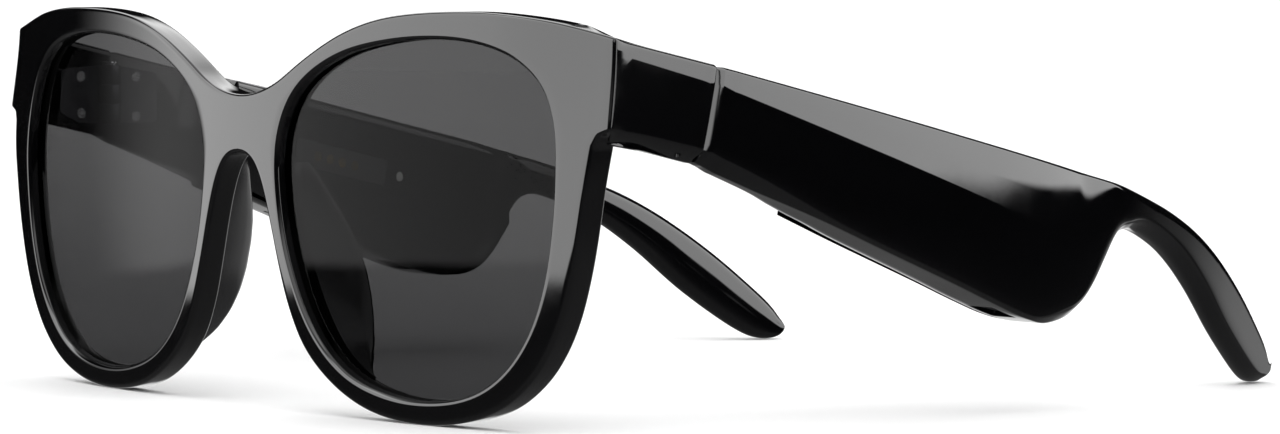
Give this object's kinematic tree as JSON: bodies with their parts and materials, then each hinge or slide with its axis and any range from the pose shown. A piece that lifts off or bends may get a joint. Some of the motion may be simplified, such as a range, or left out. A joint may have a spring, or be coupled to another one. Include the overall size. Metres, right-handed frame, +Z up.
{
  "type": "smart glasses",
  "caption": "Rounded sunglasses with folding temples that hold open-ear speakers, a battery, a charging port and a function button, ending in curved ear hooks.",
  "frame": {"origin": "middle of the box that holds the open glasses, on the table that the rims and the ear hooks stand on", "axes": "+Z up, the lenses face -Y and the temples run back to +Y, the wearer's left is +X"},
  "size_m": [0.146, 0.1624, 0.0567],
  "materials": {
    "frame": "polished injection-moulded nylon",
    "temple": "polished injection-moulded nylon",
    "cover": "polished injection-moulded nylon",
    "lens": "dark grey gradient sun lens",
    "pad": "moulded nylon",
    "flex": "polyimide",
    "hinge": "black plated, satin",
    "steel": "satin",
    "driver": "satin",
    "cone": "satin film",
    "mesh": "black woven mesh",
    "cell": "foil pouch",
    "board": "solder mask",
    "gold": "gold plated",
    "trim": "satin",
    "mic_can": "satin",
    "light": "light pipe",
    "switch": "satin",
    "button": "satin"
  },
  "bodies": {
    "front": {"front_frame": "frame", "lens_left": "lens", "lens_right": "lens", "nose_pad_left": "pad", "nose_pad_right": "pad", "front_flex": "flex", "hinge_front_left": "hinge", "hinge_front_right": "hinge", "hinge_pin_left": "steel", "hinge_pin_right": "steel", "front_screws": "steel"},
    "temple_left": {"temple_shell_left": "temple", "temple_cover_left": "cover", "hinge_temple_left": "hinge", "temple_screws_left": "steel", "speaker_left": "driver", "diaphragm_left": "cone", "speaker_grille_left": "mesh", "vent_mesh_left": "mesh", "battery_left": "cell", "temple_flex_left": "flex"},
    "temple_right": {"temple_shell_right": "temple", "temple_cover_right": "cover", "hinge_temple_right": "hinge", "temple_screws_right": "steel", "speaker_right": "driver", "diaphragm_right": "cone", "speaker_grille_right": "mesh", "vent_mesh_right": "mesh", "battery_right": "cell", "temple_flex_right": "flex", "main_board": "board", "charge_contacts": "gold", "charge_carrier": "trim", "charge_magnets": "steel", "mic_meshes": "mesh", "microphones": "mic_can", "status_light": "light", "tact_switch": "switch"},
    "button": {"function_button": "button"}
  },
  "joints": [
    {"name": "left_temple_fold", "type": "hinge", "parent": "front", "child": "temple_left", "pos_m": [0.0648, -0.05615, 0.04314], "axis": [0, -0.0175, 0.9998], "range_deg": [0, 90]},
    {"name": "right_temple_fold", "type": "hinge", "parent": "front", "child": "temple_right", "pos_m": [-0.0648, -0.05615, 0.04314], "axis": [0, 0.0175, -0.9998], "range_deg": [0, 76]},
    {"name": "button_press", "type": "slide", "parent": "temple_right", "child": "button", "axis": [0, 0.333, 0.9429], "range_m": [0, 0.0003], "stiffness_N_per_m": 300, "springref_m": -0.0005}
  ]
}
